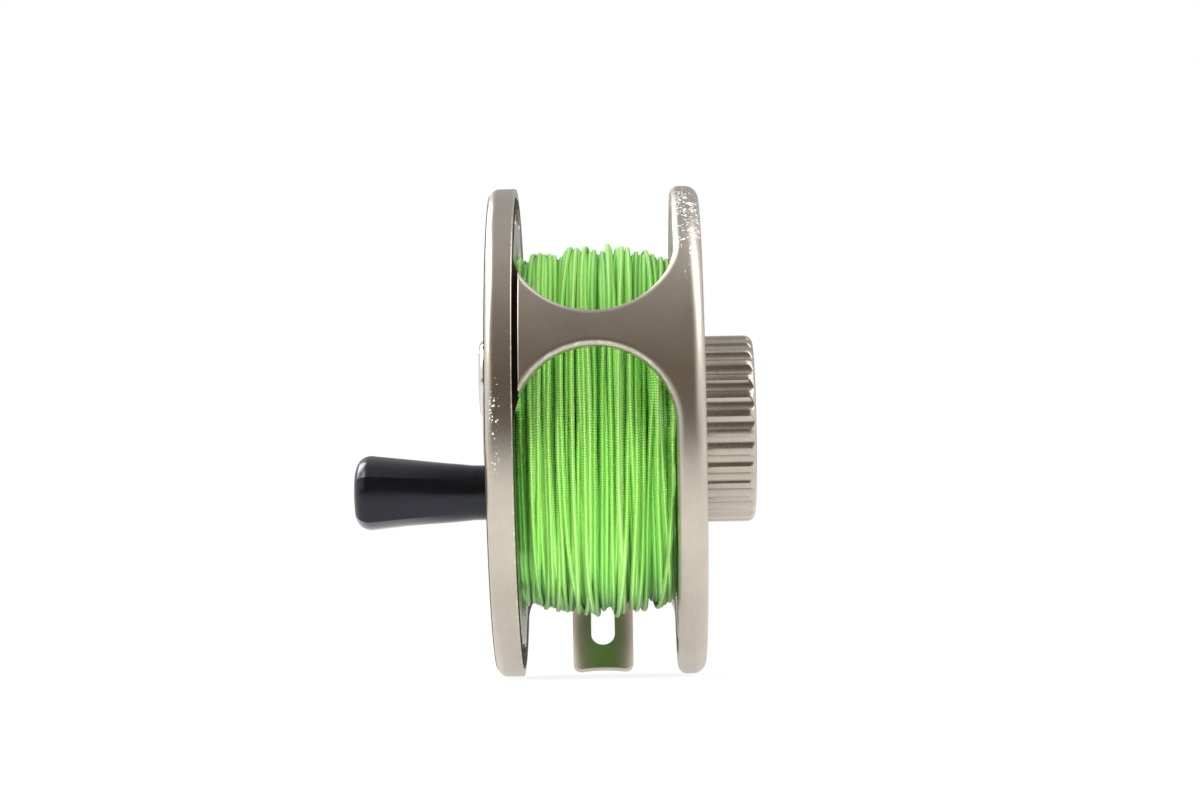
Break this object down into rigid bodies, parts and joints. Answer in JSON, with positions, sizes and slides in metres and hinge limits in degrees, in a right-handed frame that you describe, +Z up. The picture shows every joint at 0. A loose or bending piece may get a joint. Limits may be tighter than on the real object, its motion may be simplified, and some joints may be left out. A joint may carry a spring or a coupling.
{
  "type": "fly fishing reel",
  "caption": "Large-arbor fishing reel with an open cage frame, fluted drag knob, counterweighted handle and a spool wound full of bright green braided line.",
  "frame": {"origin": "on the ground under the centre of the reel's bounding box, as it stands on its two rims and the lower tip of its foot", "axes": "+X along the spindle towards the drag knob, +Y away from the window side towards the foot, +Z up"},
  "size_m": [0.079, 0.1134, 0.1],
  "materials": {
    "frame_metal": "champagne anodised, satin, fine turned grain",
    "foot_metal": "champagne anodised, satin, rubbed at the edges",
    "spool_metal": "champagne anodised, satin, fine turned grain",
    "knob_metal": "champagne anodised, satin, scalloped",
    "inner_metal": "machined",
    "steel": "turned",
    "bright_steel": "turned, fine grain",
    "bronze": "sintered bronze",
    "carbon_disc": "carbon fibre composite",
    "seal_rubber": "smooth rubber",
    "grip_black": "black, satin gloss, worn",
    "braided_line": "bright green braid, slightly waxy"
  },
  "bodies": {
    "frame": {"frame": "frame_metal", "reel_foot": "foot_metal", "foot_screws": "steel", "spindle": "steel", "spindle_nut": "steel", "drag_cover": "inner_metal", "cover_screws": "steel", "hub_seal": "seal_rubber", "spool_cap": "spool_metal", "cap_o_ring": "seal_rubber", "bearing_inner_races": "steel", "click_pin": "steel", "click_spring": "steel", "detent_ball": "steel", "detent_spring": "steel", "knob_screw": "steel", "knob_seal": "seal_rubber", "friction_discs": "carbon_disc"},
    "knob": {"drag_knob": "knob_metal"},
    "drag_plate": {"thrust_ring": "inner_metal", "pressure_plate": "inner_metal", "spring_washers": "steel"},
    "rotor": {"drag_rotor": "steel", "rotor_bushings": "bronze"},
    "ball_cages": {"bearing_balls": "steel"},
    "spool": {"spool": "spool_metal", "clutch_shell": "steel", "clutch_rollers": "steel", "bearing_outer_races": "steel", "click_gear": "steel", "line_core": "braided_line", "line_winding": "braided_line", "counterweight": "bright_steel", "counterweight_screw": "steel", "handle_post": "steel"},
    "handle": {"handle_grip": "grip_black", "handle_bushing": "bronze"},
    "pawl": {"click_pawl": "steel"}
  },
  "joints": [
    {"name": "spool_spin", "type": "hinge", "parent": "frame", "child": "spool", "pos_m": [0, -0.00669, 0.05], "axis": [1, 0, 0], "continuous": true},
    {"name": "rotor_spin", "type": "hinge", "parent": "frame", "child": "rotor", "pos_m": [0, -0.00669, 0.05], "axis": [1, 0, 0], "continuous": true},
    {"name": "cage_spin", "type": "hinge", "parent": "frame", "child": "ball_cages", "pos_m": [0, -0.00669, 0.05], "axis": [1, 0, 0], "continuous": true},
    {"name": "handle_spin", "type": "hinge", "parent": "spool", "child": "handle", "pos_m": [0, -0.04053, 0.03633], "axis": [1, 0, 0], "continuous": true},
    {"name": "knob_turn", "type": "hinge", "parent": "frame", "child": "knob", "pos_m": [0, -0.00669, 0.05], "axis": [-1, 0, 0], "range_deg": [0, 300]},
    {"name": "plate_slide", "type": "slide", "parent": "frame", "child": "drag_plate", "axis": [-1, 0, 0], "range_m": [0, 0.0006]},
    {"name": "pawl_rock", "type": "hinge", "parent": "frame", "child": "pawl", "pos_m": [0, -0.00335, 0.06891], "axis": [1, 0, 0], "range_deg": [-7, 7], "stiffness_Nm_per_rad": 0.01}
  ],
  "couplings": [
    {"joint": "rotor_spin", "follows": "spool_spin", "ratio": 1},
    {"joint": "cage_spin", "follows": "spool_spin", "ratio": 0.6158},
    {"joint": "plate_slide", "follows": "knob_turn", "m_per_rad": 0.00011459}
  ]
}
